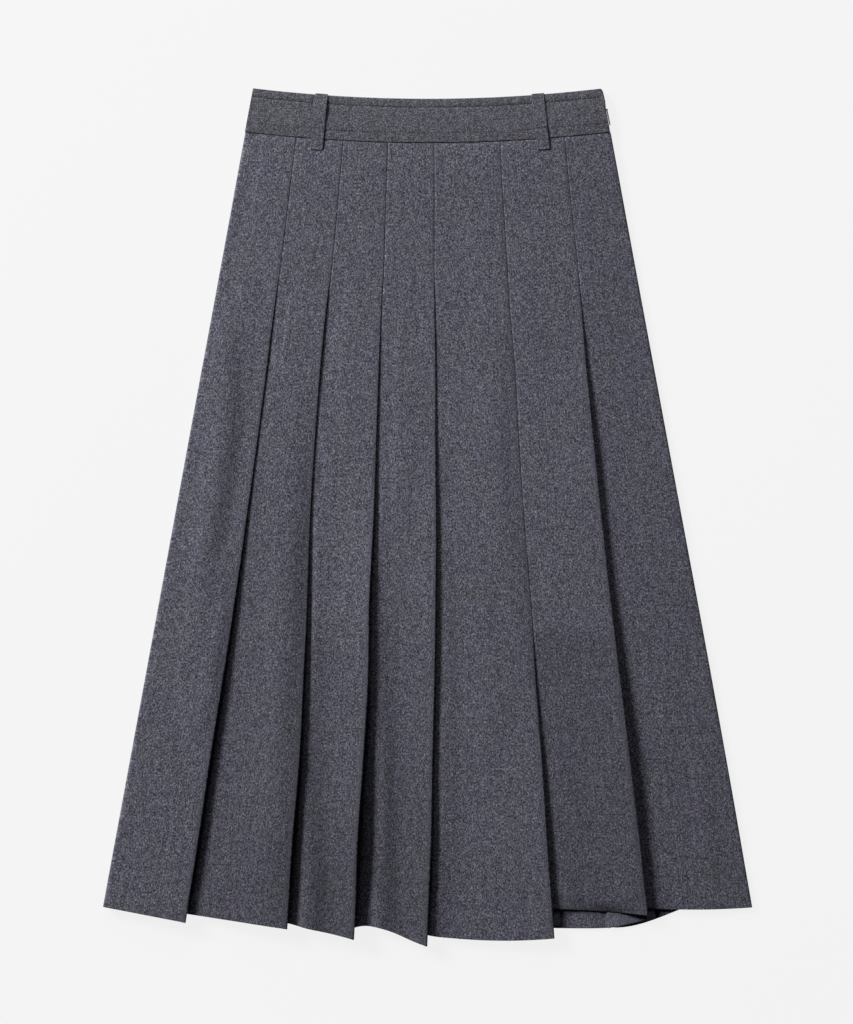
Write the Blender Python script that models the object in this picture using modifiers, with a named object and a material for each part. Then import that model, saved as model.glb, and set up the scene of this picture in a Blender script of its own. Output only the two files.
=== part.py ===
"""A pleated midi skirt in grey wool flannel, laid flat on its back with the waist towards +Y.

Sizes are millimetres and become metres where points are made. x runs to the viewer's right,
y towards the waist and z up from the surface that the skirt lies on. A drop is a distance
down the skirt, measured from the middle of the waist seam.
"""

import math
from collections import namedtuple

import bmesh
import bpy
from mathutils import Matrix, Vector

NAME = "pleated_midi_skirt"
MM = 0.001

# Cloth and the way its layers lie on each other.
CLOTH = 1.0
LAYER_GAP = 0.4
PIECE_GAP = 0.3
LAYER = CLOTH + LAYER_GAP
LOW = CLOTH / 2
FLUSH = LOW + 2 * LAYER
STACK = FLUSH + CLOTH / 2

# The flat outline.
SEAM_MIDDLE_Y = 375.5
SEAM_RISE = 11.0
WAIST_HALF = 183.5
SIDE_FLARE = 0.183
HEM_DROP = 795.0
BAND_HEIGHT = 43.0
BAND_TOP_HALF = 175.0
BAND_TOP_RISE = 8.5
BAND_SEAM_HALF = 183.0
BAND_THICK = 2.6
BACK_BAND_LOWER = 1.0
ZIP_RECESS = 1.8

# Belt loops lie under the back of the waistband and lift it off the surface.
LOOP_THICK = 1.4
LOOP_BELOW_SEAM = 13.0
LOOP_BULGE = 1.6
WAIST_LIFT = LOOP_THICK + PIECE_GAP
LIFT_ENDS = (18.0, 90.0)

# How far in from a fold or a side the wall turns over, and how sharply.
STITCHED_RISE = 1.9
STITCHED_SIDE_START = 0.15
OPEN_BY = 0.35
SIDE_ROUND = 4.0
FOLD_LOOSENS = 0.6
TUCK_CLEAR = 2.0

# Drops at which the fold table gives a fold's distance from the centre line.
STATIONS = (0.0, 150.0, 310.0, 510.0, HEM_DROP)
Fold = namedtuple(
    "Fold", "waist hip thigh knee hem release tuck_waist tuck_hem lift inner_hem"
)
Hem = namedtuple("Hem", "left right bow lean")
Ripple = namedtuple("Ripple", "panel across width height starts")
Cut = namedtuple("Cut", "name folds hems ripples side_edge side_level free_rise rows")
Loop = namedtuple("Loop", "name top bottom width")

FRONT_FOLDS = (
    Fold(-133.0, -151.5, -173.0, -202.5, -246.5, 148, 28, 45, 6.8, 767),
    Fold(-87.0, -99.5, -114.0, -125.5, -143.0, 148, 28, 46, 6.8, 776),
    Fold(-41.0, -46.5, -52.0, -62.5, -78.0, 148, 27, 38, 11.2, 782),
    Fold(5.0, 6.0, 7.0, 6.0, -4.0, 148, 28, 44, 6.8, 780),
    Fold(72.0, 79.0, 90.5, 104.5, 124.5, 488, 34, 50, 5.6, 779),
    Fold(138.0, 152.0, 166.0, 188.0, 220.5, 143, 34, 48, 7.2, 757),
)
FRONT_HEMS = (
    Hem(763.6, 780.6, 0.0, 0.0),
    Hem(772.0, 786.5, 0.0, 0.0),
    Hem(781.5, 796.6, 0.0, 0.0),
    Hem(784.8, 802.5, -5.2, 2.0),
    Hem(793.5, 796.0, 3.6, 0.0),
    Hem(762.6, 770.0, -5.3, 0.0),
    Hem(765.3, 763.5, 2.2, 0.0),
)
FRONT_RIPPLES = (
    Ripple(0, 0.62, 0.18, -1.2, 150),
    Ripple(1, 0.62, 0.16, -1.3, 150),
    Ripple(2, 0.42, 0.16, -1.6, 560),
    Ripple(3, 0.20, 0.12, 2.2, 600),
    Ripple(3, 0.48, 0.14, -2.0, 560),
    Ripple(4, 0.30, 0.14, -0.8, 150),
    Ripple(5, 0.45, 0.22, -1.6, 430),
)

# The back is seen from behind here, so its x runs the other way from the front's.
BACK_FOLDS = (
    Fold(-146.0, -169.0, -193.0, -222.0, -262.0, 148, 26, 42, 0.0, 763),
    Fold(-100.0, -115.5, -132.0, -152.5, -182.0, 148, 27, 48, 0.0, 777),
    Fold(-48.0, -55.0, -63.0, -72.5, -86.0, 148, 28, 48, 0.0, 784),
    Fold(3.0, 3.0, 3.5, 3.5, 4.0, 148, 28, 48, 0.0, 780),
    Fold(54.0, 61.5, 69.5, 80.0, 94.0, 148, 28, 48, 0.0, 777),
    Fold(105.0, 120.0, 136.0, 156.0, 184.0, 148, 28, 48, 0.0, 772),
)
BACK_HEMS = (
    Hem(761.0, 768.5, 0.0, 0.0),
    Hem(770.0, 783.0, 0.0, 0.0),
    Hem(786.0, 785.0, 0.8, 0.0),
    Hem(784.0, 782.0, 0.0, 0.0),
    Hem(782.0, 780.5, 0.0, 0.0),
    Hem(780.5, 775.0, 0.0, 0.0),
    Hem(774.0, 761.0, 0.0, 0.0),
)

# The wall's shape from the low side of a fold up onto the next panel, as shares of the way
# across and up: sewn down it turns up at once, below the stitching it slopes.
Step = namedtuple("Step", "across up")
SEWN_STEPS = (
    Step(0.0, 0.0),
    Step(0.354, 0.107),
    Step(0.49, 0.36),
    Step(0.51, 0.64),
    Step(0.646, 0.893),
    Step(1.0, 1.0),
)
FREE_STEPS = (
    Step(0.0, 0.0),
    Step(0.14, 0.17),
    Step(0.33, 0.39),
    Step(0.52, 0.60),
    Step(0.76, 0.83),
    Step(1.0, 1.0),
)
FLAT_STEPS = (0.33, 0.7)
FOLD_TURNS = (90, 30, -30, -90)
TUCK_TURNS = (90, 150, 210, 270)

FRONT_ROWS = (
    0, 0.02, 0.06, 0.12, 0.19, 0.215, 0.26, 0.32, 0.4, 0.48, 0.555, 0.62, 0.66, 0.72,
    0.79, 0.86, 0.93, 1,
)
BACK_ROWS = (0, 0.03, 0.1, 0.19, 0.25, 0.36, 0.5, 0.65, 0.8, 0.92, 1)

FRONT = Cut("front_skirt", FRONT_FOLDS, FRONT_HEMS, FRONT_RIPPLES, -0.7, LOW, 0.9, FRONT_ROWS)
BACK = Cut("back_skirt", BACK_FOLDS, BACK_HEMS, (), 1.8, FLUSH, 0.12, BACK_ROWS)

FRONT_LOOPS = (
    Loop("belt_loop_front_left", -105.0, -110.3, 12.4),
    Loop("belt_loop_front_right", 109.7, 115.5, 12.4),
)
BACK_LOOPS = (
    Loop("belt_loop_back_right", -107.0, -113.0, 12.4),
    Loop("belt_loop_back_left", 107.0, 113.0, 12.4),
)

# Waistband heights above the lifted waist, at its middle thickness.
BAND_SEAM_LEVEL = 7.1
BAND_TOP_LEVEL = 4.2
BAND_ALLOWANCE = 0.25

# The concealed zip in the side seam at the viewer's right.
ZIP_SLIDER_Y = 407.5
ZIP_BELOW_SLIDER = 5.2
ZIP_END_DROP = 170.0
ZIP_TAPE = 5.0
ZIP_TAPE_IN = 3.0
ZIP_TAPE_THICK = 1.2
ZIP_BAND_LEVEL = 3.6
ZIP_SKIRT_LEVEL = 3.0
SLIDER_LEVEL = 3.7
SLIDER_BODY = (6.0, 7.0, 1.5)
SLIDER_CAP = (0.4, 6.0, 4.0)
SLIDER_LUG = (1.7, 1.4, 0.5)
SLIDER_LUG_APART = 2.7
PIN_OUT = 1.85
PIN_RADIUS = 0.22
PULL_EYE = 0.5
PULL_HEAD = 0.85
PULL_HEAD_WIDE = 1.6
PULL_LONG = 16.0
PULL_WIDE = 4.2
PULL_THICK = 0.9

# Turns a drawn outline's x, y and z into the part's y, z and x.
OUTLINE_TO_YZ = Matrix(((0, 0, 1, 0), (1, 0, 0, 0), (0, 1, 0, 0), (0, 0, 0, 1)))


def blend(a, b, share):
    """The value a share of the way from a to b."""
    return a + (b - a) * share


def clamp(value, low=0.0, high=1.0):
    return max(low, min(high, value))


def ease(share):
    """A smooth start and end between 0 and 1."""
    share = clamp(share)
    return share * share * (3 - 2 * share)


def along_curve(stations, values, at):
    """A smooth curve through the values, straight beyond both ends."""
    last = len(stations) - 1
    slopes = [
        (values[min(k + 1, last)] - values[max(k - 1, 0)])
        / (stations[min(k + 1, last)] - stations[max(k - 1, 0)])
        for k in range(last + 1)
    ]
    if at <= stations[0]:
        return values[0] + slopes[0] * (at - stations[0])
    if at >= stations[last]:
        return values[last] + slopes[last] * (at - stations[last])
    k = max(n for n in range(last) if stations[n] <= at)
    step = stations[k + 1] - stations[k]
    t = (at - stations[k]) / step
    return (
        values[k] * (2 * t**3 - 3 * t**2 + 1)
        + slopes[k] * step * (t**3 - 2 * t**2 + t)
        + values[k + 1] * (3 * t**2 - 2 * t**3)
        + slopes[k + 1] * step * (t**3 - t**2)
    )


def half_width(drop):
    """The skirt's flat half width."""
    return WAIST_HALF + SIDE_FLARE * drop


def seam_drop(x):
    """The waist seam rises towards both sides."""
    return -SEAM_RISE * (x / WAIST_HALF) ** 2


def waist_lift(drop):
    """How far the loops under the waistband hold the cloth off the surface."""
    return WAIST_LIFT * (1 - ease((drop - LIFT_ENDS[0]) / (LIFT_ENDS[1] - LIFT_ENDS[0])))


def fold_x(fold, drop):
    return along_curve(STATIONS, fold[: len(STATIONS)], drop)


def opening(fold, drop):
    """0 where the pleat is sewn down, 1 at the hem."""
    return max(0.0, (drop - fold.release) / (HEM_DROP - fold.release))


def tuck_depth(fold, drop):
    return blend(fold.tuck_waist, fold.tuck_hem, drop / HEM_DROP)


def fold_level(fold, drop):
    """Height of the panel's middle line where it turns under at its fold."""
    return FLUSH + fold.lift * opening(fold, drop) ** 1.5


def ripple_height(cut, panel, share, drop):
    """Soft troughs and ridges that run down a panel, deepest at the hem."""
    total = 0.0
    for ripple in cut.ripples:
        if ripple.panel == panel and drop > ripple.starts:
            grown = ease((drop - ripple.starts) / (HEM_DROP - ripple.starts))
            away = (share - ripple.across) / ripple.width
            total += ripple.height * grown * math.exp(-away * away)
    return total


def rise_points(start, end, spread):
    """The wall between a low and a high point, sewn at spread 0 and sloping at 1."""
    points = []
    for sewn, free in zip(SEWN_STEPS, FREE_STEPS):
        across = blend(sewn.across, free.across, spread)
        up = blend(sewn.up, free.up, spread)
        points.append((blend(start[0], end[0], across), blend(start[1], end[1], up)))
    return points


def panel_points(cut, number, drop):
    """The middle line of one visible panel, from its left fold or side to its right one."""
    half = half_width(drop)
    right_fold = cut.folds[number] if number < len(cut.folds) else None
    if right_fold:
        turn = fold_radius(right_fold, drop)
        end = (fold_x(right_fold, drop) - turn - CLOTH / 2, fold_level(right_fold, drop))
    else:
        end = (half - SIDE_ROUND, cut.side_level)
    if number == 0:
        start = (-half + SIDE_ROUND, cut.side_level)
        width = fold_x(right_fold, drop) - tuck_depth(right_fold, drop) - start[0]
        run = 0.85 * width
        spread = 1.0
        shoulder = max(FLUSH, blend(LOW, end[1], 0.5))
    else:
        left_fold = cut.folds[number - 1]
        start = (fold_x(left_fold, drop) - STITCHED_SIDE_START, LOW)
        spread = clamp(opening(left_fold, drop) / OPEN_BY)
        width = end[0] - start[0]
        free_run = cut.free_rise * width
        free_shoulder = cut.side_level
        if right_fold:
            free_run = min(free_run, width - tuck_depth(right_fold, drop) - TUCK_CLEAR)
            free_shoulder = max(FLUSH, blend(LOW, end[1], free_run / width))
        run = blend(STITCHED_RISE, free_run, spread)
        shoulder = blend(FLUSH, free_shoulder, spread)
    top = (start[0] + run, shoulder)
    points = rise_points(start, top, spread)
    points += [(blend(top[0], end[0], s), blend(top[1], end[1], s)) for s in FLAT_STEPS]
    span = end[0] - start[0]
    points = [
        (x, z + ripple_height(cut, number, (x - start[0]) / span, drop)) for x, z in points
    ]
    if number == 0:
        points = side_points(cut, -half, 1) + points
    if not right_fold:
        points = points + [end] + side_points(cut, half, -1)[::-1]
    return points


def side_points(cut, edge, inward):
    """The wall's turn towards the side seam, from the edge inwards."""
    middle = blend(cut.side_edge, cut.side_level, 0.62)
    return [(edge, cut.side_edge), (edge + inward * SIDE_ROUND * 0.4, middle)]


def fold_radius(fold, drop):
    return LAYER / 2 + FOLD_LOOSENS * clamp(opening(fold, drop)) * clamp(fold.lift)


def tuck_points(fold, drop):
    """The outer turn at the fold, then the inner turn deep under the panel."""
    turn = fold_radius(fold, drop)
    middle = (fold_x(fold, drop) - turn - CLOTH / 2, fold_level(fold, drop) - turn)
    outer = [
        (middle[0] + turn * math.cos(math.radians(a)), middle[1] + turn * math.sin(math.radians(a)))
        for a in FOLD_TURNS
    ]
    turn = LAYER / 2
    middle = (fold_x(fold, drop) - tuck_depth(fold, drop) + turn + CLOTH / 2, LOW + turn)
    inner = [
        (middle[0] + turn * math.cos(math.radians(a)), middle[1] + turn * math.sin(math.radians(a)))
        for a in TUCK_TURNS
    ]
    return outer, inner


def section(cut, drop):
    """The whole wall across one drop, as (x, height, part, number) from side to side."""
    points = []
    for number in range(len(cut.folds) + 1):
        points += [(x, z, "panel", number) for x, z in panel_points(cut, number, drop)]
        if number < len(cut.folds):
            outer, inner = tuck_points(cut.folds[number], drop)
            points += [(x, z, "fold", number) for x, z in outer]
            points += [(x, z, "tuck", number) for x, z in inner]
    return points


def hem_drops(cut):
    """Where each point of the section ends at the hem."""
    drops = []
    edges = [-half_width(HEM_DROP)] + [f.hem for f in cut.folds] + [half_width(HEM_DROP)]
    for x, _, part, number in section(cut, HEM_DROP):
        if part == "panel":
            share = clamp((x - edges[number]) / (edges[number + 1] - edges[number]))
            hem = cut.hems[number]
            bow = hem.bow * 4 * share * (1 - share) * (1 + hem.lean * (0.5 - share))
            drops.append(blend(hem.left, hem.right, share) + bow)
        elif part == "fold":
            drops.append(cut.hems[number].right)
        else:
            drops.append(cut.folds[number].inner_hem)
    return drops


def grid_object(name, columns, rows, place, thickness, material, collection):
    """A closed wall: a grid of points put in place one by one, then given its thickness.

    place takes a column and a row, counted from the left and from the waist, and gives the
    point in millimetres.
    """
    shape = bmesh.new()
    bmesh.ops.create_grid(shape, x_segments=columns - 1, y_segments=rows - 1, size=1)
    for vert in shape.verts:
        column = round((vert.co.x + 1) / 2 * (columns - 1))
        row = round((1 - vert.co.y) / 2 * (rows - 1))
        vert.co = Vector(place(column, row)) * MM
    mesh = bpy.data.meshes.new(name)
    shape.to_mesh(mesh)
    shape.free()
    mesh.shade_smooth()
    mesh.materials.append(material)
    made = bpy.data.objects.new(name, mesh)
    collection.objects.link(made)
    wall = made.modifiers.new("Wall", "SOLIDIFY")
    wall.thickness = thickness * MM
    wall.offset = 0
    wall.use_even_offset = True
    return made


def skirt_cut(cut, to_world, material, collection):
    """A front or back: pleated sections from the waist seam to the hem."""
    hems = hem_drops(cut)
    waist = [seam_drop(point[0]) for point in section(cut, 0.0)]

    def place(column, row):
        drop = blend(waist[column], hems[column], cut.rows[row])
        x, height, _, _ = section(cut, drop)[column]
        return to_world(x, SEAM_MIDDLE_Y - drop, height, drop)

    return grid_object(
        cut.name, len(hems), len(cut.rows), place, CLOTH, material, collection
    )


def front_world(x, y, height, drop):
    return (x, y, STACK + PIECE_GAP + height + waist_lift(drop))


def back_world(x, y, height, drop):
    """The back is the front's make turned over, so its outside lies on the surface."""
    return (-x, y, STACK - height + waist_lift(drop))


def band_edge(share, side):
    """The waistband's half width, a share of the way from its seam to its top."""
    recess = ZIP_RECESS if side > 0 else 0.0
    return blend(BAND_SEAM_HALF, BAND_TOP_HALF, share) - recess


def band_top_y(x):
    return SEAM_MIDDLE_Y + BAND_HEIGHT + BAND_TOP_RISE * (x / BAND_TOP_HALF) ** 2


def band_seam_y(x):
    return SEAM_MIDDLE_Y - seam_drop(x) + PIECE_GAP


def band_level(share):
    """The front band lies over the seam allowances at its seam and lower at its top."""
    sloped = clamp((share - BAND_ALLOWANCE) / (1 - BAND_ALLOWANCE))
    return blend(BAND_SEAM_LEVEL, BAND_TOP_LEVEL, sloped)


def waistband(name, lower, level, material, collection):
    """A folded strip with a curved top and a curved seam."""
    columns = 25
    shares = (1.0, 0.94, 0.6, BAND_ALLOWANCE, 0.0)

    def place(column, row):
        across = 2 * column / (columns - 1) - 1
        x = across * band_edge(shares[row], across)
        y = blend(band_seam_y(x), band_top_y(x) - lower, shares[row])
        return (x, y, WAIST_LIFT + level(shares[row]))

    made = grid_object(name, columns, len(shares), place, BAND_THICK, material, collection)
    round_edges(made, 0.8)
    return made


def round_edges(made, width, segments=2):
    bevel = made.modifiers.new("Rounded", "BEVEL")
    bevel.width = width * MM
    bevel.segments = segments
    bevel.limit_method = "ANGLE"
    bevel.angle_limit = math.radians(50)


def front_loop_path(x_top, x_bottom):
    """Points (x, y, z) down the middle of a front belt loop, from over the band's top edge."""
    top, bottom = band_top_y(x_top), SEAM_MIDDLE_Y - seam_drop(x_bottom) - LOOP_BELOW_SEAM
    clear = PIECE_GAP + LOOP_THICK / 2
    over = BAND_THICK / 2 + clear
    crest = BAND_TOP_LEVEL + over
    path = [
        (x_top, top + clear, BAND_TOP_LEVEL - 0.2),
        (x_top, top + clear, crest - 1.3),
        (x_top, top + clear * 0.45, crest - 0.35),
        (x_top, top - 1.2, crest),
    ]
    steps = 9
    for step in range(1, steps + 1):
        share = step / steps
        y = blend(top - 1.2, bottom, share)
        x = blend(x_top, x_bottom, share)
        seam = band_seam_y(x)
        if y > seam:
            surface = band_level((y - seam) / (top - seam)) + BAND_THICK / 2
        else:
            surface = max(STACK + PIECE_GAP + STACK, BAND_SEAM_LEVEL + BAND_THICK / 2)
        path.append((x, y, surface + clear + LOOP_BULGE * math.sin(math.pi * share)))
    return path


def back_loop_path(x_top, x_bottom):
    """A back belt loop is pressed flat between the surface and the waistband."""
    top = band_top_y(x_top) - BACK_BAND_LOWER
    bottom = SEAM_MIDDLE_Y - seam_drop(x_bottom) - LOOP_BELOW_SEAM
    steps = 4
    level = LOOP_THICK / 2 - WAIST_LIFT
    return [
        (blend(x_top, x_bottom, k / steps), blend(top, bottom, k / steps), level)
        for k in range(steps + 1)
    ]


def belt_loop(loop, path, material, collection):
    """A strip whose two sides follow the band's own edges."""
    sides = [(column / 2 - 0.5) * loop.width for column in range(3)]
    paths = [path(loop.top + side, loop.bottom + side) for side in sides]

    def place(column, row):
        x, y, z = paths[column][row]
        return (x, y, WAIST_LIFT + z)

    made = grid_object(loop.name, 3, len(paths[0]), place, LOOP_THICK, material, collection)
    round_edges(made, 0.3, 1)
    return made


def zip_line(y):
    """The x of the band's end face at the zip, or of the skirt's side below the band."""
    top, seam = band_top_y(BAND_TOP_HALF), band_seam_y(BAND_SEAM_HALF)
    if y > seam:
        return band_edge((y - seam) / (top - seam), 1)
    return half_width(SEAM_MIDDLE_Y - y)


def side_zip(material, collection):
    """The zip's tapes and coil, from just under the slider down inside the side seam."""
    top = ZIP_SLIDER_Y - ZIP_BELOW_SLIDER
    seam = band_seam_y(BAND_SEAM_HALF)
    bottom = SEAM_MIDDLE_Y - ZIP_END_DROP
    ys = [top, blend(top, seam, 0.6), seam - 2, seam - 20, seam - 45, seam - 75]
    ys += [blend(seam - 75, bottom, 0.5), bottom]

    def place(column, row):
        y = ys[row]
        lowered = ease((top - y) / (top - seam + 15))
        level = blend(ZIP_BAND_LEVEL, ZIP_SKIRT_LEVEL, lowered)
        lift = waist_lift(SEAM_MIDDLE_Y - y)
        return (zip_line(y) - ZIP_TAPE_IN - (1 - column) * ZIP_TAPE, y, level + lift)

    return grid_object("side_zip", 2, len(ys), place, ZIP_TAPE_THICK, material, collection)


def box(size, at):
    """A block as a mesh, in millimetres."""
    shape = bmesh.new()
    bmesh.ops.create_cube(shape, size=1)
    bmesh.ops.transform(shape, matrix=Matrix.Diagonal((*size, 1)), verts=shape.verts)
    bmesh.ops.translate(shape, vec=at, verts=shape.verts)
    return finish_mesh(shape)


def rod(radius, length, at):
    """A round bar along z as a mesh, in millimetres."""
    shape = bmesh.new()
    bmesh.ops.create_cone(
        shape, cap_ends=True, segments=16, radius1=radius, radius2=radius, depth=length
    )
    bmesh.ops.translate(shape, vec=at, verts=shape.verts)
    return finish_mesh(shape)


def plate(outline, thickness):
    """A flat outline in the y and z plane, thick along x, as a mesh, in millimetres."""
    curve = bpy.data.curves.new("outline", "CURVE")
    curve.dimensions = "2D"
    curve.fill_mode = "BOTH"
    curve.extrude = thickness / 2
    spline = curve.splines.new("POLY")
    spline.points.add(len(outline) - 1)
    spline.use_cyclic_u = True
    for point, (y, z) in zip(spline.points, outline):
        point.co = (y, z, 0, 1)
    drawn = bpy.data.objects.new("outline", curve)
    bpy.context.scene.collection.objects.link(drawn)
    filled = drawn.evaluated_get(bpy.context.evaluated_depsgraph_get())
    shape = bmesh.new()
    shape.from_mesh(bpy.data.meshes.new_from_object(filled))
    bpy.data.objects.remove(drawn)
    bmesh.ops.remove_doubles(shape, verts=shape.verts, dist=0.001)
    bmesh.ops.transform(shape, matrix=OUTLINE_TO_YZ, verts=shape.verts)
    bmesh.ops.recalc_face_normals(shape, faces=shape.faces)
    return finish_mesh(shape)


def finish_mesh(shape):
    bmesh.ops.scale(shape, vec=(MM, MM, MM), verts=shape.verts)
    mesh = bpy.data.meshes.new("block")
    shape.to_mesh(mesh)
    shape.free()
    return mesh


def combined(name, base, changes, matrix, material, collection, cutters):
    """One solid: the base mesh with others joined to it or cut from it."""
    made = bpy.data.objects.new(name, base)
    base.name = name
    base.materials.append(material)
    made.matrix_world = matrix
    collection.objects.link(made)
    for number, (operation, mesh) in enumerate(changes):
        other = bpy.data.objects.new(f"{name}_shape_{number}", mesh)
        other.matrix_world = matrix
        other.hide_render = True
        other.display_type = "WIRE"
        cutters.objects.link(other)
        change = made.modifiers.new(operation.title(), "BOOLEAN")
        change.operation = operation
        change.object = other
    return made


def slider_matrix():
    """At the slider on the zip's line, with x pointing out of the side and y up the zip."""
    upper, lower = zip_line(ZIP_SLIDER_Y + 10), zip_line(ZIP_SLIDER_Y - 10)
    tilt = math.atan2(lower - upper, 20)
    at = Vector((zip_line(ZIP_SLIDER_Y), ZIP_SLIDER_Y, WAIST_LIFT + SLIDER_LEVEL)) * MM
    return Matrix.Translation(at) @ Matrix.Rotation(tilt, 4, "Z")


def zip_slider(material, collection, cutters):
    """The body lies inside the seam; its cap, lugs and pin stand outside."""
    deep, long, thick = SLIDER_BODY
    cap = SLIDER_CAP[0]
    overlap = 0.1
    body = box((deep + PIECE_GAP + overlap, long, thick), ((PIECE_GAP + overlap - deep) / 2, 0, 0))
    changes = [("UNION", box(SLIDER_CAP, (PIECE_GAP + cap / 2, 0, 0)))]
    lug_out = PIECE_GAP + cap - overlap + SLIDER_LUG[0] / 2
    for side in (-1, 1):
        at = (lug_out, 0, side * SLIDER_LUG_APART / 2)
        changes.append(("UNION", box(SLIDER_LUG, at)))
    changes.append(("UNION", rod(PIN_RADIUS, SLIDER_LUG_APART, (PIN_OUT, 0, 0))))
    return combined(
        "zip_slider", body, changes, slider_matrix(), material, collection, cutters
    )


def pull_outline():
    """Half widths down the pull tab: narrow at the head, widest near its round end."""
    round_at = PULL_LONG - PULL_WIDE / 2
    outline = [(0.0, PULL_HEAD_WIDE / 2), (-2.2, PULL_HEAD_WIDE / 2)]
    outline += [(-4.5, 0.62 * PULL_WIDE / 2), (-8.5, 0.9 * PULL_WIDE / 2)]
    for angle in range(0, 90, 15):
        a = math.radians(angle)
        outline.append(
            (-round_at - math.sin(a) * PULL_WIDE / 2, math.cos(a) * PULL_WIDE / 2)
        )
    return outline


def zip_pull(material, collection, cutters):
    """A teardrop tab with an eye round the slider's pin, origin on the pin's axis."""
    half = pull_outline()
    tip = [(-PULL_LONG, 0.0)]
    outline = half + tip + [(y, -z) for y, z in reversed(half)]
    tab = plate(outline, PULL_THICK)
    changes = [
        ("UNION", rod(PULL_HEAD, PULL_HEAD_WIDE, (0, 0, 0))),
        ("DIFFERENCE", rod(PULL_EYE, 2 * PULL_HEAD_WIDE, (0, 0, 0))),
    ]
    matrix = slider_matrix() @ Matrix.Translation((PIN_OUT * MM, 0, 0))
    return combined("zip_pull", tab, changes, matrix, material, collection, cutters)


def finish(name, color, roughness, metallic=0.0):
    """A plain material for one kind of surface."""
    material = bpy.data.materials.new(name)
    material.use_nodes = True
    shader = material.node_tree.nodes["Principled BSDF"]
    shader.inputs["Base Color"].default_value = (*color, 1)
    shader.inputs["Roughness"].default_value = roughness
    shader.inputs["Metallic"].default_value = metallic
    material.diffuse_color = (*color, 1)
    return material


def new_collection(name):
    collection = bpy.data.collections.new(name)
    bpy.context.scene.collection.children.link(collection)
    return collection


def build():
    for old in list(bpy.data.objects):
        bpy.data.objects.remove(old)
    skirt = new_collection(NAME)
    cutters = new_collection("cutters")
    flannel = finish("wool_flannel", (0.093, 0.094, 0.115), 0.92)
    band = finish("waistband_flannel", (0.09, 0.091, 0.108), 0.92)
    strip = finish("loop_flannel", (0.085, 0.086, 0.102), 0.92)
    tape = finish("zip_tape", (0.02, 0.02, 0.024), 0.7)
    metal = finish("zip_metal", (0.32, 0.32, 0.34), 0.35, 1.0)

    skirt_cut(FRONT, front_world, flannel, skirt)
    skirt_cut(BACK, back_world, flannel, skirt)
    waistband("waistband_front", 0.0, band_level, band, skirt)
    waistband("waistband_back", BACK_BAND_LOWER, lambda share: BAND_THICK / 2, band, skirt)
    for loop in FRONT_LOOPS:
        belt_loop(loop, front_loop_path, strip, skirt)
    for loop in BACK_LOOPS:
        belt_loop(loop, back_loop_path, strip, skirt)
    side_zip(tape, skirt)
    zip_slider(metal, skirt, cutters)
    zip_pull(metal, skirt, cutters)


build()
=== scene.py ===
import math

import bmesh
import bpy
from mathutils import Matrix, Vector, noise
from mathutils.bvhtree import BVHTree


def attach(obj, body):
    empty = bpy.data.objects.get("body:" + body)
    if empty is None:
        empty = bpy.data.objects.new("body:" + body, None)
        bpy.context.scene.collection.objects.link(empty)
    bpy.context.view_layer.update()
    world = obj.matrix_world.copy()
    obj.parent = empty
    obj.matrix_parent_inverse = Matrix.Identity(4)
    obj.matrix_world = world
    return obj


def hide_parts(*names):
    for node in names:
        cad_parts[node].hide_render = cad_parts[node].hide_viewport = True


# A pleated wool flannel skirt laid flat on its back, seen from straight above.
# Sizes in the settings are millimetres: x runs to the viewer's right, y to the waist, z up.
# A drop is measured down the skirt from the middle of the waist seam.
mm = 0.001
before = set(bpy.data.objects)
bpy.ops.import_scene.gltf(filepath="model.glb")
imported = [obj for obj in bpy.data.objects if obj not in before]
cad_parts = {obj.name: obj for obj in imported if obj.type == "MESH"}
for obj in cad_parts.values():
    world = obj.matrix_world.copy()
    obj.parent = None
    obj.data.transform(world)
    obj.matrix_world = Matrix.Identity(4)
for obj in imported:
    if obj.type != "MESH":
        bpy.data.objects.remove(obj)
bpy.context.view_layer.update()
print("frame loaded:", ", ".join(sorted(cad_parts)))


# helpers on numbers
def mix(a, b, share):
    return a + (b - a) * share


def clamp(value, low=0.0, high=1.0):
    return max(low, min(high, value))


def ease(share):
    share = clamp(share)
    return share * share * (3 - 2 * share)


def bell(away):
    return math.exp(-away * away)


def cubic(start, startSlope, end, endSlope, t):
    return (
        start * (2 * t**3 - 3 * t**2 + 1)
        + startSlope * (t**3 - 2 * t**2 + t)
        + end * (3 * t**2 - 2 * t**3)
        + endSlope * (t**3 - t**2)
    )


def waviness(waves, x, y, number=0):
    # each wave has its width, length, step from panel to panel, start and height
    return sum(
        height * noise.noise(Vector((x / wide, y / long, number * step + start)))
        for wide, long, step, start, height in waves
    )


def smoothCurve(stations, values, at):
    # goes through every value, and straight on past both ends
    last = len(stations) - 1
    slopes = [
        (values[min(k + 1, last)] - values[max(k - 1, 0)])
        / (stations[min(k + 1, last)] - stations[max(k - 1, 0)])
        for k in range(last + 1)
    ]
    if at <= stations[0]:
        return values[0] + slopes[0] * (at - stations[0])
    if at >= stations[last]:
        return values[last] + slopes[last] * (at - stations[last])
    k = max(n for n in range(last) if stations[n] <= at)
    step = stations[k + 1] - stations[k]
    t = (at - stations[k]) / step
    return cubic(values[k], slopes[k] * step, values[k + 1], slopes[k + 1] * step, t)


def filledIn(points, count):
    # points on a curve that never overshoots the given ones, without the last
    slopes = [(b[1] - a[1]) / (b[0] - a[0]) for a, b in zip(points, points[1:])]
    tangents = [slopes[0]]
    for before, after in zip(slopes, slopes[1:]):
        together = before * after > 0
        tangents.append(2 * before * after / (before + after) if together else 0.0)
    tangents.append(slopes[-1])
    made = []
    for k in range(len(slopes)):
        (x0, z0), (x1, z1) = points[k], points[k + 1]
        step = x1 - x0
        for n in range(count):
            z = cubic(z0, tangents[k] * step, z1, tangents[k + 1] * step, n / count)
            made.append((x0 + step * (n / count), z))
    return made


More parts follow.
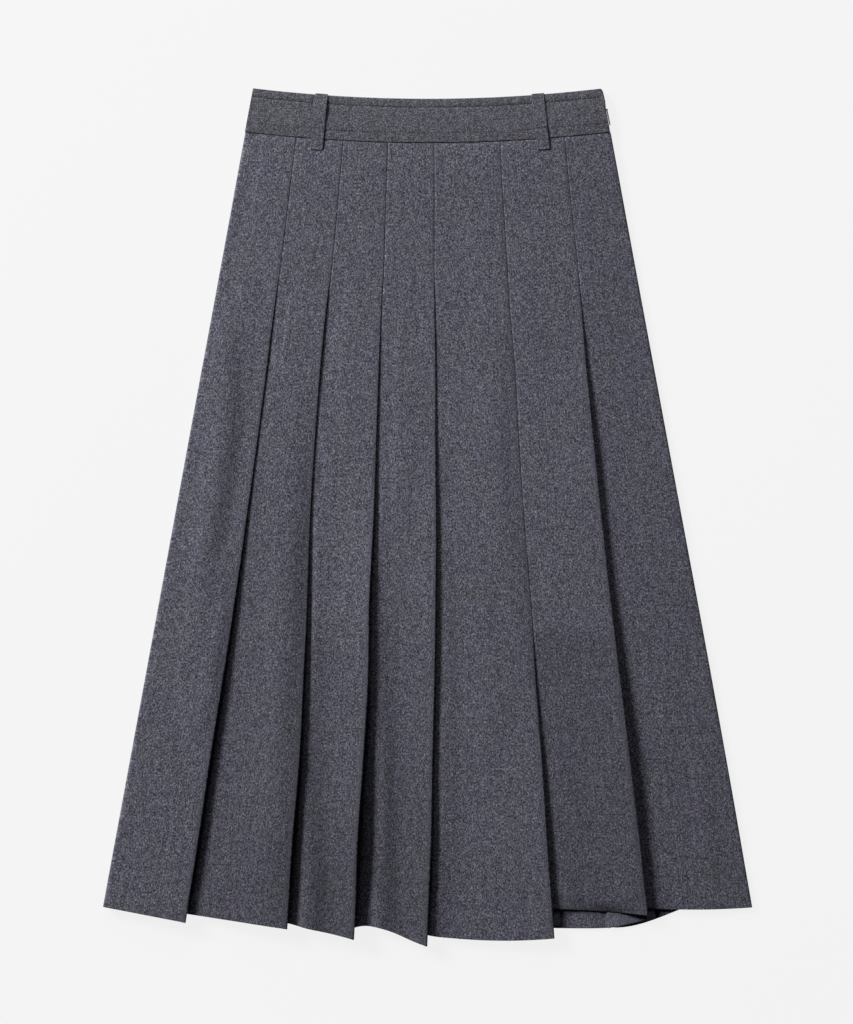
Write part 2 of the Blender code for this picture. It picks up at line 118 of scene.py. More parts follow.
# camera, straight above the middle of the picture
# at the height trueAt a millimetre is one pixel
lens = {"x": -1.55, "y": 5.5, "height": 3300.0, "sensor": 36.0, "trueAt": 6.0, "longSide": 1024.0}


def addObject(name, data):
    made = bpy.data.objects.new(name, data)
    bpy.context.scene.collection.objects.link(made)
    return made


def setCamera():
    camera = bpy.data.cameras.new("overheadCamera")
    camera.sensor_width = lens["sensor"]
    camera.lens = lens["sensor"] * (lens["height"] - lens["trueAt"]) / lens["longSide"]
    camera.clip_end = 100
    holder = addObject("overheadCamera", camera)
    holder.location = Vector((lens["x"], lens["y"], lens["height"])) * mm
    bpy.context.scene.camera = holder
    bpy.context.scene.view_settings.view_transform = "Standard"


setCamera()

# studio light: a soft box low on the upper left, and a weak one from the top
# share is how much of a white floor's brightness each one gives
# turn is from straight left towards the top of the picture, rise from the floor
studio = {
    "softBox": {"turn": 36, "rise": 30, "away": 4.6, "across": 1.7, "tall": 1.4, "share": 0.78},
    "topFill": {"turn": 86, "rise": 22, "away": 5.0, "across": 0.9, "tall": 0.8, "share": 0.11},
}
skyGlow = {"colour": (0.80, 0.84, 1.25), "share": 0.014}


def addLight(name, settings):
    light = bpy.data.lights.new(name, "AREA")
    light.shape = "RECTANGLE"
    light.size = settings["across"]
    light.size_y = settings["tall"]
    rise, turn = math.radians(settings["rise"]), math.radians(settings["turn"])
    away = settings["away"]
    light.energy = settings["share"] * (math.pi * away) ** 2 / math.sin(rise)
    flat = math.cos(rise)
    at = Vector((-flat * math.cos(turn), flat * math.sin(turn), math.sin(rise)))
    holder = addObject(name, light)
    holder.location = at * away
    holder.rotation_euler = at.to_track_quat("Z", "Y").to_euler()


def setSky():
    world = bpy.data.worlds.new("studio")
    world.use_nodes = True
    background = world.node_tree.nodes["Background"]
    background.inputs["Color"].default_value = (*skyGlow["colour"], 1)
    background.inputs["Strength"].default_value = skyGlow["share"]
    bpy.context.scene.world = world


for name, settings in studio.items():
    addLight(name, settings)
setSky()
print("camera and lights set")


# materials: arithmetic on a Wire adds Math nodes, Paint.node adds any other
class Wire:
    def __init__(self, paint, socket):
        self.paint, self.socket = paint, socket

    def maths(self, operation, first, second):
        terms = {0: first, 1: second}
        return self.paint.node("ShaderNodeMath", {"operation": operation}, terms)

    def __add__(self, other):
        return self.maths("ADD", self, other)

    def __sub__(self, other):
        return self.maths("SUBTRACT", self, other)

    def __rsub__(self, other):
        return self.maths("SUBTRACT", other, self)

    def __mul__(self, other):
        return self.maths("MULTIPLY", self, other)

    def __pow__(self, other):
        return self.maths("POWER", self, other)

    def __abs__(self):
        return self.maths("ABSOLUTE", self, 0.0)

    __radd__ = __add__
    __rmul__ = __mul__

    def within(self, low=0.0, high=1.0):
        return self.maths("MINIMUM", self.maths("MAXIMUM", self, low), high)


class Paint:
    def __init__(self, name, **constants):
        self.material = bpy.data.materials.new(name)
        self.material.use_nodes = True
        self.tree = self.material.node_tree
        self.shader = self.tree.nodes["Principled BSDF"]
        for socket, value in constants.items():
            self.shader.inputs[socket.replace("_", " ")].default_value = value

    def node(self, kind, settings=None, feeds=None, out=0):
        made = self.tree.nodes.new(kind)
        for name, value in (settings or {}).items():
            setattr(made, name, value)
        for socket, value in (feeds or {}).items():
            if isinstance(value, Wire):
                self.tree.links.new(value.socket, made.inputs[socket])
            else:
                made.inputs[socket].default_value = value
        return Wire(self, made.outputs[out])

    def colours(self, share, first, second, blend="MIX"):
        first, second = (c if isinstance(c, Wire) else (*c, 1) for c in (first, second))
        settings = {"data_type": "RGBA", "blend_type": blend}
        return self.node("ShaderNodeMix", settings, {0: share, 6: first, 7: second}, out=2)

    def product(self, first, second):
        return self.colours(1.0, first, second, "MULTIPLY")

    def objectPlace(self):
        return self.node("ShaderNodeTexCoord", out=3)

    def part(self, vector, out=0):
        return self.node("ShaderNodeSeparateXYZ", {}, {"Vector": vector}, out)

    def fuzz(self, place, scale, detail=2.0):
        feeds = {"Vector": place, "Scale": scale, "Detail": detail}
        return self.node("ShaderNodeTexNoise", {}, feeds)

    def scaled(self, place, across, down, shift=0.0):
        size = {"Vector": place, "Location": (shift, shift, 0), "Scale": (1 / across, 1 / down, 1)}
        return self.node("ShaderNodeMapping", {}, size)

    def diagonals(self, place, scale, distortion):
        settings = {"wave_type": "BANDS", "bands_direction": "DIAGONAL"}
        feeds = {"Vector": place, "Scale": scale, "Distortion": distortion}
        return self.node("ShaderNodeTexWave", settings, feeds, out=1)

    def speckle(self, place, across, down, detail=0.0, roughness=0.5, shift=0.0):
        # noise whose grains are about this wide and long, in millimetres
        sized = self.scaled(place, across, down, shift)
        feeds = {"Vector": sized, "Scale": 1 / mm, "Detail": detail, "Roughness": roughness}
        return self.node("ShaderNodeTexNoise", {"noise_dimensions": "2D"}, feeds)

    def tufts(self, place, across, down):
        # each tuft of wool its own random tone
        feeds = {"Vector": self.scaled(place, across, down), "Scale": 1 / mm}
        cells = self.node("ShaderNodeTexVoronoi", {"voronoi_dimensions": "2D"}, feeds, out=1)
        return self.part(cells)

    def use(self, socket, wire):
        self.tree.links.new(wire.socket, self.shader.inputs[socket])

    def bump(self, height, depth, strength=1.0):
        feeds = {"Height": height, "Distance": depth * mm, "Strength": strength}
        self.use("Normal", self.node("ShaderNodeBump", {}, feeds))


flannelLook = {
    "colour": (0.0874, 0.0859, 0.1128),
    "greener": (0.0878, 0.0886, 0.1086),  # slow patches lean to this
    "dark": 0.15,  # darkest and lightest wool in the marl, as a share of the colour
    "light": 3.25,
    "contrast": 1.16,
    "grain": (1.45, 1.95),  # how wide and how long its flecks are
    "mix": {"flecks": 0.75, "fibres": 0.3, "tufts": 0.3, "cloudy": 0.27, "streaky": 0.065},
    # painted shade: parts of some panels are made darker below a drop: the middle of a panel's
    # pattern and its half width, the drop where the painted shade sets in, how slowly, and how much
    # colour is left
    "pressed": (
        (0.000, 0.070, 0.130, 0.100, 0.945),
        (0.211, 0.060, 0.180, 0.200, 0.83),
        (0.211, 0.060, 0.440, 0.120, 0.92),
        (0.422, 0.060, 0.390, 0.160, 0.80),
        (0.422, 0.060, 0.600, 0.080, 0.86),
        (0.633, 0.060, 0.420, 0.220, 0.86),
        (0.633, 0.060, 0.600, 0.080, 0.88),
        (1.055, 0.062, 0.480, 0.018, 0.80),
        (1.266, 0.075, 0.130, 0.100, 0.965),
    ),
}
bandLook = dict(
    flannelLook,
    colour=(0.0776, 0.0767, 0.0952),
    greener=(0.0769, 0.0776, 0.0898),
    grain=(1.5, 1.5),
)


def flannel(name, look):
    sheen = {"Sheen_Weight": 0.12, "Sheen_Roughness": 0.55, "Sheen_Tint": (0.85, 0.86, 1.0, 1)}
    paint = Paint(name, Roughness=0.92, Specular_IOR_Level=0.2, **sheen)
    place = paint.node("ShaderNodeUVMap", {"uv_map": "cloth"})
    (across, down), parts = look["grain"], look["mix"]
    flecks = paint.speckle(place, across, down, 1.0, 0.55)
    fibres = paint.speckle(place, across * 0.42, down * 1.1, 0.0, 0.5, 3.1)
    tufts = paint.tufts(place, across * 0.62, down * 0.62)
    marl = (flecks - 0.5) * parts["flecks"] + (fibres - 0.5) * parts["fibres"]
    marl = marl + (tufts - 0.5) * parts["tufts"]
    slow = paint.speckle(place, 34.0, 46.0, 1.0, 0.5, 7.7)
    cloudy = paint.speckle(place, 5.0, 8.0, 1.0, 0.6, 1.9)
    streaky = paint.speckle(place, 4.0, 60.0, 0.0, 0.5, 4.4)
    patches = ((slow - 0.5) * 4.0 + 0.5).within()
    body = paint.colours(patches, look["colour"], look["greener"])
    level = marl * look["contrast"] + 0.5
    level = level + (cloudy - 0.5) * parts["cloudy"] + (streaky - 0.5) * parts["streaky"]
    wool = paint.colours(level.within() ** 2.0, (look["dark"],) * 3, (look["light"],) * 3)
    patternX, patternY = paint.part(place), paint.part(place, 1)
    wobble = (paint.speckle(place, 14.0, 14.0, 1.0, 0.5, 2.6) - 0.5) * 0.012
    keptUnderPaintedShade = 1.0  # how much of the colour is left under the painted shade
    # each listed patch paints shade over part of one panel, below a drop
    for middle, half, start, soft, pressed in look["pressed"]:
        inside = (half - abs(patternX - middle)) * (1 / (5 * mm))
        below = (wobble - start - patternY) * (1 / soft)
        keptUnderPaintedShade = keptUnderPaintedShade * (1.0 - inside.within() * below.within() * (1 - pressed))
    # the painted shade, as a grey that the colour is multiplied by
    tone = paint.colours(keptUnderPaintedShade, (0, 0, 0), (1, 1, 1))
    paint.use("Base Color", paint.product(paint.product(body, wool), tone))
    nap = paint.speckle(place, 0.7, 1.0, 2.0, 0.6, 5.3)
    paint.bump(nap + flecks * 0.5, 0.16, 0.3)
    return paint.material


def threadFinish():
    paint = Paint("sewing_thread", Roughness=0.7, Specular_IOR_Level=0.3)
    twist = paint.diagonals(paint.objectPlace(), 900.0, 1.0)
    paint.use("Base Color", paint.colours(twist, (0.010, 0.010, 0.013), (0.030, 0.030, 0.037)))
    paint.bump(twist, 0.05, 0.6)
    return paint.material


def tapeFinish():
    paint = Paint("zip_tape_weave", Roughness=0.75, Specular_IOR_Level=0.3)
    place = paint.objectPlace()
    twill = paint.diagonals(place, 420.0, 0.0)
    fuzz = paint.fuzz(place, 1500.0)
    dark, light = (0.012, 0.012, 0.015), (0.045, 0.045, 0.055)
    paint.use("Base Color", paint.colours(twill * fuzz, dark, light))
    paint.bump(twill + fuzz * 0.4, 0.12, 0.7)
    return paint.material


def metalFinish():
    paint = Paint("satin_nickel", Metallic=1.0)
    place = paint.objectPlace()
    drawn = paint.node("ShaderNodeMapping", {}, {"Vector": place, "Scale": (1.0, 0.12, 1.0)})
    brushed, rubbed = paint.fuzz(drawn, 6000.0, 3.0), paint.fuzz(place, 700.0)
    worn = ((rubbed - 0.45) * 5.0).within()
    paint.use("Base Color", paint.colours(worn, (0.11, 0.11, 0.115), (0.34, 0.34, 0.35)))
    paint.use("Roughness", brushed * 0.16 + 0.20 + worn * 0.06)
    paint.bump(brushed, 0.02, 0.4)
    return paint.material


skirtWool = flannel("grey_marl_flannel", flannelLook)
bandWool = flannel("waistband_flannel", bandLook)
thread = threadFinish()
tapeWeave = tapeFinish()
nickel = metalFinish()
print("materials made")


# making pieces
def gridShape(columns, rows, place):
    # place takes a column from the left and a row from the waist
    # and gives x, y, z and the cloth pattern's u, v there
    shape = bmesh.new()
    bmesh.ops.create_grid(shape, x_segments=columns - 1, y_segments=rows - 1, size=1)
    pattern = shape.loops.layers.uv.new("cloth")
    spots = {}
    for vert in shape.verts:
        column = round((vert.co.x + 1) / 2 * (columns - 1))
        row = round((1 - vert.co.y) / 2 * (rows - 1))
        x, y, z, u, v = place(column, row)
        vert.co = Vector((x, y, z)) * mm
        spots[vert] = (u * mm, v * mm)
    for face in shape.faces:
        for corner in face.loops:
            corner[pattern].uv = spots[corner.vert]
    return shape


def meshOf(name, shape, finish):
    mesh = bpy.data.meshes.new(name)
    shape.to_mesh(mesh)
    shape.free()
    mesh.materials.append(finish)
    return mesh


def addPiece(name, shape, finish, standsFor=None, body="skirt"):
    mesh = meshOf(name, shape, finish)
    mesh.shade_smooth()
    piece = addObject(name, mesh)
    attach(piece, body)
    if standsFor:
        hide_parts(standsFor)
    return piece


def thicken(piece, thick):
    wall = piece.modifiers.new("Thickness", "SOLIDIFY")
    wall.thickness = thick * mm
    wall.offset = 0
    wall.use_even_offset = True


def roundRims(piece, width, segments=2, sharperThan=60):
    bevel = piece.modifiers.new("Rounded", "BEVEL")
    bevel.width = width * mm
    bevel.segments = segments
    bevel.limit_method = "ANGLE"
    bevel.angle_limit = math.radians(sharperThan)


def beads(spots, size):
    # small long balls, given as x, y, z and the angle they are turned by
    shape = bmesh.new()
    sized = Matrix.Diagonal((*(s / 2 for s in size), 1))
    for x, y, z, angle in spots:
        placed = Matrix.Translation((x, y, z)) @ Matrix.Rotation(angle, 4, "Z") @ sized
        bmesh.ops.create_icosphere(shape, subdivisions=2, radius=1, matrix=placed)
    bmesh.ops.scale(shape, vec=(mm, mm, mm), verts=shape.verts)
    return shape


def stitchRow(name, stitches, look):
    shape = beads(stitches, (look["long"], look["thick"], look["thick"]))
    addPiece(name, shape, thread)


# the skirt's front and back: pleats in layers, then soft creases put in one by one
skirt = {
    "thick": 1.0,
    "layerGap": 0.4,
    "pieceGap": 0.3,
    "seamMiddleY": 375.5,
    "seamRise": 11.0,
    "waistHalf": 183.5,
    "sideFlare": 0.183,
    "hemDrop": 795.0,
    "sideRound": 2.4,
    "loopsLift": 1.7,  # belt loops under the waistband hold it off the floor
    "liftEnds": (18.0, 90.0),
    "stations": (0.0, 150.0, 310.0, 510.0, 795.0),  # drops of a pleat's five places
    "marks": (38, 128, 158, 218, 298, 378, 458, 538, 618, 698, 758),  # drops of nudge, stands
    "sewnRun": 1.05,
    "sewnStart": 0.15,
    "climbRun": 0.9,  # a panel that rests higher climbs over a longer run
    "openCurve": 1.5,
    "turnAcross": (0.42, 0.8),  # a fold's turn, sewn and fully open
    "turnUp": 0.6,
    "crowding": 0.35,
    "freeFrom": (9.0, 7.0),  # creases fade this near a panel's two edges
    "tuckClear": 2.0,
    "overTuck": 3.05,
    # where the turn-up shows through, and how it comes and goes along a panel
    "hemFold": {"above": 29.0, "deep": 0.28, "wide": 2.4, "share": 0.75},
    "hemUneven": {"wide": 22, "step": 2.3, "start": 9, "share": 0.6},
    "hemEdge": {"deep": 0.22, "wide": 3.0},
    "curl": {"over": 8.0, "from": 4.0, "soft": 30.0, "sink": 0.25},
    "seamLower": 1.6,
    "patternStep": 211.0,  # each panel has its own part of the weave
    "foldPattern": 0.7,
    "tuckPattern": 60.0,
    "rim": 0.35,
    "waves": ((46, 150, 3.7, 0, 1.6), (13, 95, 5.1, 40, 1.1), (15, 24, 1.3, 80, 0.4)),
    "sections": (-14.0, 4.0, 208),  # the first one's drop, the step, and how many
}
layer = skirt["thick"] + skirt["layerGap"]
low = skirt["thick"] / 2
flush = low + 2 * layer
stack = flush + skirt["thick"] / 2

# how the wall climbs from the low side of a pleat: share across, share up
sewnClimb = ((0.0, 0.0), (0.354, 0.107), (0.49, 0.36), (0.51, 0.64), (0.646, 0.893), (1.0, 1.0))


def pleat(at, release, tuck, lift, inner, nudge=(0,) * 11, stands=(0,) * 11):
    # stands is how far the fold's edge stands above the next panel
    made = {"at": at, "release": release, "tuck": tuck, "lift": lift, "inner": inner}
    return dict(made, nudge=nudge, stands=stands)


def crease(panel, left, right, *path):
    # a soft trough or ridge through these (x, drop, height), this wide on its two sides
    return {"panel": panel, "left": left, "right": right, "path": path}


frontCut = {
    "pleats": (
        pleat((-133, -151.5, -173, -202.5, -246.5), 148, (28, 45), 7.7, 767,
              (0.9, 1, 0.4, 0.5, 1.3, 1.6, 2.2, 2.1, 1.7, 2.6, 2.3),
              (0, 0, 1.2, 1.9, 1.8, 3, 5.4, 7.5, 8.7, 9.2, 8.5)),
        pleat((-87, -99.5, -114, -125.5, -143), 148, (28, 46), 9.7, 776,
              (2.2, 1.4, -0.3, -0.7, 0.4, 0.8, 2.3, 3.3, 4.1, 2.3, 2.1),
              (0, 0, 1.7, 2.8, 1.9, 3, 5.9, 10.3, 13.5, 14.8, 12)),
        pleat((-41, -46.5, -52, -62.5, -78), 148, (27, 38), 9.7, 782,
              (1, 1.6, 0.8, 0.1, 0.1, 1.2, 1.5, 4.6, 4.1, 3, 4.3),
              (0, 0, 0.6, 1.7, 3, 6.1, 11.6, 13.3, 14.9, 18.4, 14)),
        pleat((5, 6, 7, 6, -4), 148, (28, 44), 3.9, 780,
              (1.2, 0.6, 0.6, 1.1, 0.8, 1.4, 1.1, 1.6, 2.2, 3.8, 3.6),
              (0, 0, 1.1, 1.8, 2.6, 4.6, 6.3, 6.5, 7.6, 10.9, 10.6)),
        pleat((72, 79, 90.5, 104.5, 124.5), 488, (34, 50), 5.6, 779,
              (0.2, 1.9, 1.8, 2.8, 1.5, 1.1, 2.2, 1.3, 2, 1.6, 1.7),
              (0, 0, 0, 0, 0, 0, 0, 2.4, 4.7, 6.6, 7)),
        pleat((138, 152, 166, 188, 220.5), 143, (34, 48), 5.4, 757,
              (-0.9, 0.3, 0.4, 0, 0.8, 0.8, 0.6, 1.1, 1.9, 2.1, 1.7),
              (0, 0, 0.6, 3.5, 6, 6.4, 7, 9.5, 10.5, 10, 9.5)),
    ),
    # each panel's hem: left drop, right drop, bow and lean
    "hems": (
        (764.4, 779.8, 0, 0),
        (772.0, 786.0, 0, 0),
        (781.5, 796.2, 0, 0),
        (785.8, 803.3, -5.2, 2.0),
        (793.5, 795.7, 3.6, 0),
        (767.0, 772.5, -0.8, 0),
        (766.3, 765.6, 1.8, 0),
    ),
    "rises": (1.0, 1.1, 1.15, 1.2, 1.0, 1.0, 1.0),  # over 1: a panel climbs late, near its fold
    "curls": (0, 0, 0, 0, 0, 1.0, 0),  # how far each panel's hem curls down to the layer below
    # how much further out the sides run than straight ones, at these drops
    "sideDrops": (0, 80, 180, 260, 340, 420, 500, 580, 660, 720, 765),
    "leftOut": (0.6, 0.65, 0.75, 0.95, 1.0, 1.0, 1.05, 1.1, 1.2, 1.3, 1.3),
    "rightOut": (0.5, 0.65, 0.8, 1.1, 1.3, 1.6, 1.85, 1.75, 1.4, 0.8, 0.4),
    "sideEdge": -0.85,
    "sideLevel": low,
    "firstUp": 0.62,
    "climbPoints": 2,
    "panelPoints": 26,
    "turnPoints": 7,
    "patternAt": 0.0,
    "rowEvery": 6.3,
    "uneven": 0.22,
    "creases": (
        # first panel, at the viewer's left: two soft buckles beside its pleat, two faint hollows
        crease(0, 16, 14, (-198, 150, 0), (-202, 220, 2.3), (-205, 290, 3.4), (-213, 350, 3.4),
               (-222, 410, 2.9), (-229, 470, 2.2), (-235, 540, 1.0), (-240, 610, 0)),
        crease(0, 9, 9, (-181, 140, 0), (-181, 190, -0.5), (-181, 243, -0.8), (-187, 310, -0.9),
               (-200, 395, -0.8), (-208, 440, -0.6), (-216, 520, 0)),
        crease(0, 8, 8, (-255, 500, 0), (-254, 546, -0.5), (-248, 613, -0.5), (-246, 670, 0)),
        crease(0, 12, 8, (-200, 390, 0), (-205, 440, 1.8), (-211, 500, 2.6), (-220, 555, 1.8),
               (-230, 610, 0)),
        # second panel: it rolls over into the pleat all the way down
        crease(1, 24, 15, (-125, 150, 0), (-130, 205, 0.5), (-136, 270, 1.2), (-138, 345, 2.5),
               (-141, 420, 4.0), (-144, 500, 4.5), (-149, 580, 4.2), (-154, 660, 3.2),
               (-160, 760, 1.5), (-161, 800, 1.2)),
        crease(1, 8, 8, (-121, 150, 0), (-123, 172, 0.5), (-124, 198, 0)),
        # third panel: a ridge that grows to the hem, and the hollow beside it
        crease(2, 9, 16, (-116, 340, 0), (-116, 400, 1.5), (-118, 460, 3.0), (-120, 540, 4.0),
               (-125, 620, 4.9), (-123, 680, 5.6), (-121, 740, 6.2), (-121, 800, 6.2)),
        crease(2, 14, 16, (-100, 560, 0), (-99, 650, -0.8), (-97, 740, -1.4), (-97, 800, -1.4)),
        # fourth panel: the same, lower
        crease(3, 8, 14, (-53, 290, 0), (-52, 350, 1.8), (-51, 420, 2.8), (-51, 490, 3.7),
               (-50, 560, 4.3), (-48, 640, 4.6), (-48, 700, 4.8), (-49, 760, 4.8),
               (-50, 800, 4.6)),
        crease(3, 12, 18, (-33, 560, 0), (-31, 650, -0.7), (-29, 740, -1.2), (-29, 800, -1.2)),
        # fifth panel: a low ridge at its left, a roll before the long sewn pleat, two hollows
        crease(4, 8, 13, (14, 330, 0), (15, 420, 1.2), (15, 498, 1.4), (14, 560, 1.6),
               (13, 620, 2.4), (12, 700, 3.1), (8, 760, 3.0), (6, 800, 2.6)),
        crease(4, 22, 15, (61, 150, 0), (62, 200, 1.2), (64, 258, 1.9), (66, 313, 2.4),
               (73, 388, 2.5), (79, 438, 2.2), (84, 498, 1.2), (86, 560, 0)),
        crease(4, 10, 10, (76, 420, 0), (75, 466, -1.3), (71, 510, -1.6), (69, 554, -1.6),
               (66, 620, -0.7), (64, 680, 0)),
        crease(4, 14, 12, (30, 330, 0), (32, 370, -1.1), (33, 410, -1.1), (34, 450, 0)),
        # sixth panel: one broad hollow, one short crease
        crease(5, 30, 24, (150, 490, 0), (158, 540, -0.6), (165, 640, -1.2), (172, 740, -1.4),
               (176, 800, -1.2)),
        crease(5, 5, 5, (150, 690, 0), (156, 708, -0.5), (170, 730, -0.5), (184, 746, 0)),
        # the viewer's right panel: a low ridge near the hem
        crease(6, 12, 8, (270, 560, 0), (276, 640, 0.5), (282, 720, 0.8), (288, 795, 0.6)),
    ),
}
backCut = {
    "pleats": (
        pleat((-146, -169, -193, -222, -262), 148, (26, 42), 0.0, 763),
        pleat((-100, -115.5, -132, -152.5, -182), 148, (27, 48), 0.0, 777),
        pleat((-48, -55, -63, -72.5, -86), 148, (28, 48), 0.0, 784),
        pleat((3, 3, 3.5, 3.5, 4), 148, (28, 48), 0.0, 780),
        pleat((54, 61.5, 69.5, 80, 94), 148, (28, 48), 0.0, 777),
        pleat((105, 120, 136, 156, 184), 148, (28, 48), 0.0, 772),
    ),
    "hems": (
        (761.0, 766.5, 0, 0),
        (766.0, 786.0, 4.3, -1.2),
        (786.5, 785.5, 0.8, 0),
        (784.0, 782.0, 0, 0),
        (782.0, 780.5, 0, 0),
        (780.5, 775.0, 0, 0),
        (774.0, 761.0, 0, 0),
    ),
    "rises": (1.0,) * 7,
    "curls": (0,) * 7,
    "sideDrops": (0, 765),
    "leftOut": (0, 0),
    "rightOut": (0, 0),
    "sideEdge": 1.7,
    "sideLevel": flush,
    "firstUp": 1.0,
    "climbPoints": 1,
    "panelPoints": 14,
    "turnPoints": 5,
    "patternAt": 2600.0,
    "rowEvery": 8.5,
    "uneven": 0.0,
    "creases": (
        crease(0, 14, 10, (-215, 180, 0), (-222, 300, -0.9), (-232, 430, -1.2), (-240, 560, -0.6),
               (-246, 640, 0)),
        crease(1, 9, 8, (-190, 300, 0), (-197, 430, -0.9), (-206, 560, -1.2), (-218, 690, -0.8),
               (-226, 760, 0)),
        crease(2, 10, 9, (-112, 200, 0), (-120, 330, -0.8), (-128, 470, -1.1), (-136, 600, -0.5),
               (-140, 680, 0)),
        crease(2, 60, 60, (-140, 690, 0), (-142, 755, -1.8), (-145, 800, -1.8)),
        crease(3, 9, 12, (-45, 420, 0), (-48, 540, -0.9), (-52, 660, -1.2), (-56, 795, -0.9)),
        crease(4, 10, 9, (22, 160, 0), (24, 260, -0.9), (26, 380, -0.7), (27, 450, 0)),
        crease(5, 9, 10, (88, 380, 0), (95, 520, -1.0), (103, 650, -1.2), (110, 780, -0.8)),
        crease(6, 14, 12, (170, 240, 0), (186, 400, -1.0), (204, 560, -1.3), (214, 690, -0.7),
               (220, 760, 0)),
    ),
}


def halfWidth(drop):
    return skirt["waistHalf"] + skirt["sideFlare"] * drop


def seamDrop(x):
    return skirt["seamLower"] - skirt["seamRise"] * (x / skirt["waistHalf"]) ** 2


def waistLift(drop):
    top, bottom = skirt["liftEnds"]
    return skirt["loopsLift"] * (1 - ease((drop - top) / (bottom - top)))


def atMarks(marks, values, drop):
    return smoothCurve(marks, values, clamp(drop, marks[0], marks[-1]))


def foldX(fold, drop):
    nudge = atMarks(skirt["marks"], fold["nudge"], drop)
    return smoothCurve(skirt["stations"], fold["at"], drop) + nudge


def sidesX(cut, drop):
    left, right = (atMarks(cut["sideDrops"], cut[out], drop) for out in ("leftOut", "rightOut"))
    return -halfWidth(drop) - left, halfWidth(drop) + right


def opening(fold, drop):
    # 0 where the pleat is sewn down, 1 at the hem
    return max(0.0, (drop - fold["release"]) / (skirt["hemDrop"] - fold["release"]))


def tuckDepth(fold, drop):
    return mix(*fold["tuck"], drop / skirt["hemDrop"])


def standsBy(fold, drop):
    return atMarks(skirt["marks"], fold["stands"], drop)


def foldLevel(fold, drop):
    lifted = flush + fold["lift"] * opening(fold, drop) ** skirt["openCurve"]
    return max(lifted, low + standsBy(fold, drop))


def foldTurn(fold, drop):
    # how far across and how far up the cloth turns over at a fold
    opened = clamp(opening(fold, drop))
    up = layer / 2 + skirt["turnUp"] * opened * clamp(fold["lift"])
    return mix(*skirt["turnAcross"], opened), up


def creaseHeight(cut, number, x, drop):
    total = 0.0
    for line in cut["creases"]:
        places, drops, heights = zip(*line["path"])
        if line["panel"] != number or not drops[0] < drop < drops[-1]:
            continue
        k = max(n for n in range(len(drops) - 1) if drops[n] <= drop)
        share = ease((drop - drops[k]) / (drops[k + 1] - drops[k]))
        away = x - smoothCurve(drops, places, drop)
        wide = line["left" if away < 0 else "right"]
        total += mix(heights[k], heights[k + 1], share) * bell(away / wide)
    return total


def panelCurve(cut, number, drop):
    # the middle line of one visible panel from its left fold or side to its right one
    left, right = sidesX(cut, drop)
    fold = cut["pleats"][number] if number < len(cut["pleats"]) else None
    if fold:
        end = (foldX(fold, drop) - foldTurn(fold, drop)[0] - low, foldLevel(fold, drop))
        hidden = tuckDepth(fold, drop) + skirt["tuckClear"]
    else:
        end = (right - skirt["sideRound"], cut["sideLevel"])
        hidden = 0.0
    if number == 0:
        start = (left + skirt["sideRound"], mix(cut["sideLevel"], end[1], cut["firstUp"]))
        climb, rest = [], start
    else:
        before = cut["pleats"][number - 1]
        start = (foldX(before, drop) - skirt["sewnStart"], low)
        resting = max(low, foldLevel(before, drop) - standsBy(before, drop))
        run = skirt["sewnRun"] + skirt["climbRun"] * max(0.0, resting - flush)
        rest = (start[0] + run, resting)
        climb = [
            (mix(start[0], rest[0], across), mix(start[1], rest[1], up)) for across, up in sewnClimb
        ]
        climb = filledIn(climb, cut["climbPoints"])
    width = end[0] - rest[0]
    steps = cut["panelPoints"]
    points = list(climb)
    for n in range(steps + 1):
        share = n / steps
        share = mix(share, share * share, skirt["crowding"])  # closer points on the low side
        z = mix(rest[1], end[1], share ** cut["rises"][number])
        points.append((rest[0] + share * width, z))
    made = []
    fromLow, fromFold = skirt["freeFrom"]
    for x, z in points:
        clear = ease((x - start[0]) / fromLow) * ease((end[0] - x) / fromFold)
        z += clear * creaseHeight(cut, number, x, drop)
        if fold:
            # keeps off the tuck underneath
            z = max(z, skirt["overTuck"] * clamp((x - rest[0] + 1) / (width - hidden)))
        made.append((x, max(z, low), clear))
    if number == 0:
        made = sidePoints(cut, left, start[1], 1) + made
    if fold:
        return made[:-1]
    return made + sidePoints(cut, right, end[1], -1)[::-1]


def sidePoints(cut, edge, level, inward):
    # the wall rounds down to the side seam
    deep = skirt["sideRound"]
    shape = ((0.0, 0.0), (0.06, 0.35), (0.22, 0.66), (0.5, 0.9))
    return [(edge + inward * deep * s, mix(cut["sideEdge"], level, up), 0.0) for s, up in shape]


def tuckPoints(cut, fold, drop):
    # the outer turn at the fold, then the inner turn deep under the panel
    across, up = foldTurn(fold, drop)
    x, z = foldX(fold, drop) - across - low, foldLevel(fold, drop) - up
    steps = cut["turnPoints"] - 1
    angles = [math.radians(90 - 180 * n / steps) for n in range(steps + 1)]
    outer = [(x + across * math.cos(a), z + up * math.sin(a), 0.0) for a in angles]
    turn = layer / 2
    x, z = foldX(fold, drop) - tuckDepth(fold, drop) + turn + low, low + turn
    angles = [math.radians(90 + 45 * n) for n in range(5)]
    inner = [(x + turn * math.cos(a), z + turn * math.sin(a), 0.0) for a in angles]
    return outer, inner


def wholeSection(cut, drop):
    # (x, height, how free it is to crease, part, number) all the way across at one drop
    points = []
    for number in range(len(cut["pleats"]) + 1):
        points += [(*p, "panel", number) for p in panelCurve(cut, number, drop)]
        if number < len(cut["pleats"]):
            outer, inner = tuckPoints(cut, cut["pleats"][number], drop)
            points += [(*p, "fold", number) for p in outer]
            points += [(*p, "tuck", number) for p in inner]
    return points


def panelEdges(cut, drop):
    left, right = sidesX(cut, drop)
    return [left, *(foldX(fold, drop) for fold in cut["pleats"]), right]


